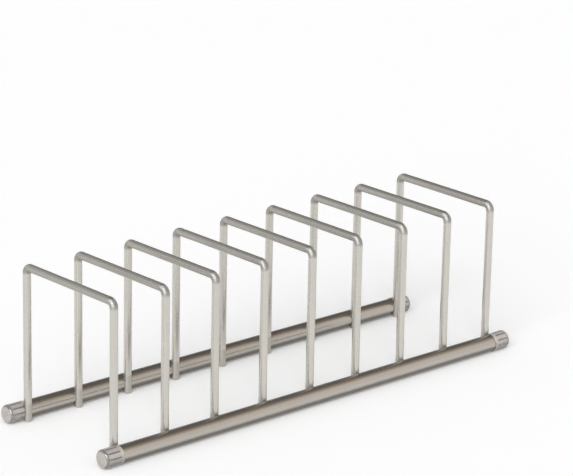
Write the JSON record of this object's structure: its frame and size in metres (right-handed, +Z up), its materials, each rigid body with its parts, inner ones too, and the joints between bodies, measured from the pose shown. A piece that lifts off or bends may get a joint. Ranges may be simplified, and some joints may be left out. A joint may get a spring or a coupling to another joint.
{
  "type": "bakeware organizer rack",
  "caption": "Free-standing rack of upside-down U wire dividers on two round rails with clear fluted end caps, for lids, pans and trays on edge.",
  "frame": {"origin": "middle of the rack's footprint, on the surface it stands on", "axes": "+X along the rails, +Y from the front rail to the back rail, +Z up"},
  "size_m": [0.3992, 0.1246, 0.1205],
  "materials": {
    "rail_nickel": "satin nickel plated steel tube",
    "wire_nickel": "satin nickel plated steel wire",
    "clear_cap": "clear soft plastic moulding"
  },
  "bodies": {
    "root": {"rail_front": "rail_nickel", "rail_back": "rail_nickel", "divider_1": "wire_nickel", "divider_2": "wire_nickel", "divider_3": "wire_nickel", "divider_4": "wire_nickel", "divider_5": "wire_nickel", "divider_6": "wire_nickel", "divider_7": "wire_nickel", "divider_8": "wire_nickel", "divider_9": "wire_nickel", "cap_front_left": "clear_cap", "cap_front_right": "clear_cap", "cap_back_left": "clear_cap", "cap_back_right": "clear_cap"}
  },
  "joints": []
}
